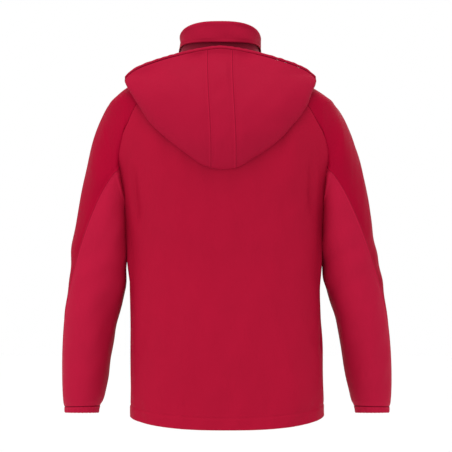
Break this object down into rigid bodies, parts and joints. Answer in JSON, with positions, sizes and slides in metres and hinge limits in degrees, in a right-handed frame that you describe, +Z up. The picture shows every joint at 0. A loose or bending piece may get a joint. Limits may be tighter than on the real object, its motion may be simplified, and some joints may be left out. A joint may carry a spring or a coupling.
{
  "type": "hardshell jacket",
  "caption": "Red hooded waterproof hardshell jacket with raglan sleeves, full front zip, stand collar, hand pockets and drop-tail hem, standing as if worn.",
  "frame": {"origin": "middle of the hang loop inside the back of the neck", "axes": "+Z up, -Y is the front of the jacket where the zip is, +X is the wearer's left"},
  "size_m": [0.6612, 0.3066, 0.8177],
  "materials": {
    "shell_fabric": "matt",
    "sleeve_fabric": "matt",
    "lining_fabric": "matt",
    "zip_tape": "matt",
    "zip_plastic": "satin",
    "zip_metal": "satin",
    "cord": "matt",
    "label_fabric": "matt",
    "cord_lock_plastic": "satin"
  },
  "bodies": {
    "torso": {"back_panel": "shell_fabric", "outer_collar": "shell_fabric", "left_front_panel": "shell_fabric", "right_front_panel": "shell_fabric", "left_side_panel": "shell_fabric", "right_side_panel": "shell_fabric", "left_hood_front": "shell_fabric", "right_hood_front": "shell_fabric", "left_sleeve_cap": "sleeve_fabric", "right_sleeve_cap": "sleeve_fabric", "inner_collar": "lining_fabric", "hem_facing": "lining_fabric", "storm_flap": "lining_fabric", "left_pocket_bag": "lining_fabric", "right_pocket_bag": "lining_fabric", "chin_guard": "lining_fabric", "left_zip_tape": "zip_tape", "right_zip_tape": "zip_tape", "left_pocket_zip": "zip_tape", "right_pocket_zip": "zip_tape", "left_zip_chain": "zip_plastic", "right_zip_chain": "zip_plastic", "zip_retainer_box": "zip_metal", "hem_drawcord": "cord", "hang_loop": "cord", "neck_label": "label_fabric", "left_cord_lock": "cord_lock_plastic", "right_cord_lock": "cord_lock_plastic"},
    "hood": {"left_hood_panel": "shell_fabric", "right_hood_panel": "shell_fabric", "hood_gusset": "shell_fabric", "hood_brim": "shell_fabric", "hood_brim_cord": "cord"},
    "left_arm": {"left_sleeve_upper_panel": "sleeve_fabric", "left_sleeve_under_panel": "sleeve_fabric"},
    "left_lower_arm": {"left_forearm_upper_panel": "sleeve_fabric", "left_forearm_under_panel": "sleeve_fabric", "left_cuff_band": "shell_fabric", "left_cuff_elastic": "cord"},
    "right_arm": {"right_sleeve_upper_panel": "sleeve_fabric", "right_sleeve_under_panel": "sleeve_fabric"},
    "right_lower_arm": {"right_forearm_upper_panel": "sleeve_fabric", "right_forearm_under_panel": "sleeve_fabric", "right_cuff_band": "shell_fabric", "right_cuff_elastic": "cord"},
    "front_slider": {"zip_slider": "zip_metal"},
    "front_pull": {"zip_pull": "zip_metal"},
    "left_pocket_pull": {"left_pocket_slider": "zip_metal"},
    "right_pocket_pull": {"right_pocket_slider": "zip_metal"},
    "left_plunger": {"left_cord_lock_plunger": "cord_lock_plastic"},
    "right_plunger": {"right_cord_lock_plunger": "cord_lock_plastic"}
  },
  "joints": [
    {"name": "left_sleeve_raise", "type": "hinge", "parent": "torso", "child": "left_arm", "pos_m": [0.2275, -0.0477, -0.1015], "axis": [0, -1, 0], "range_deg": [0, 90]},
    {"name": "left_elbow_bend", "type": "hinge", "parent": "left_arm", "child": "left_lower_arm", "pos_m": [0.252, -0.139, -0.415], "axis": [-1, 0, 0], "range_deg": [0, 90], "stiffness_Nm_per_rad": 0.03, "springref_deg": -68.75},
    {"name": "right_sleeve_raise", "type": "hinge", "parent": "torso", "child": "right_arm", "pos_m": [-0.2275, -0.0477, -0.1015], "axis": [0, 1, 0], "range_deg": [0, 90]},
    {"name": "right_elbow_bend", "type": "hinge", "parent": "right_arm", "child": "right_lower_arm", "pos_m": [-0.252, -0.139, -0.415], "axis": [-1, 0, 0], "range_deg": [0, 90], "stiffness_Nm_per_rad": 0.03, "springref_deg": -68.75},
    {"name": "hood_lift", "type": "hinge", "parent": "torso", "child": "hood", "pos_m": [0, 0.026, 0.018], "axis": [1, 0, 0], "range_deg": [0, 140]},
    {"name": "front_zip_slide", "type": "slide", "parent": "torso", "child": "front_slider", "axis": [0, -0.0698, -0.9976], "range_m": [0, 0.69]},
    {"name": "front_pull_swing", "type": "hinge", "parent": "front_slider", "child": "front_pull", "pos_m": [0, -0.15115, -0.01362], "axis": [-1, 0, 0], "range_deg": [0, 170]},
    {"name": "left_pocket_zip_slide", "type": "slide", "parent": "torso", "child": "left_pocket_pull", "axis": [0.1547, 0.0082, -0.9879], "range_m": [0, 0.124]},
    {"name": "left_cord_lock_press", "type": "slide", "parent": "torso", "child": "left_plunger", "axis": [0, 0, -1], "range_m": [0, 0.004], "stiffness_N_per_m": 200, "springref_m": -0.002},
    {"name": "right_pocket_zip_slide", "type": "slide", "parent": "torso", "child": "right_pocket_pull", "axis": [-0.1547, 0.0082, -0.9879], "range_m": [0, 0.124]},
    {"name": "right_cord_lock_press", "type": "slide", "parent": "torso", "child": "right_plunger", "axis": [0, 0, -1], "range_m": [0, 0.004], "stiffness_N_per_m": 200, "springref_m": -0.002}
  ]
}
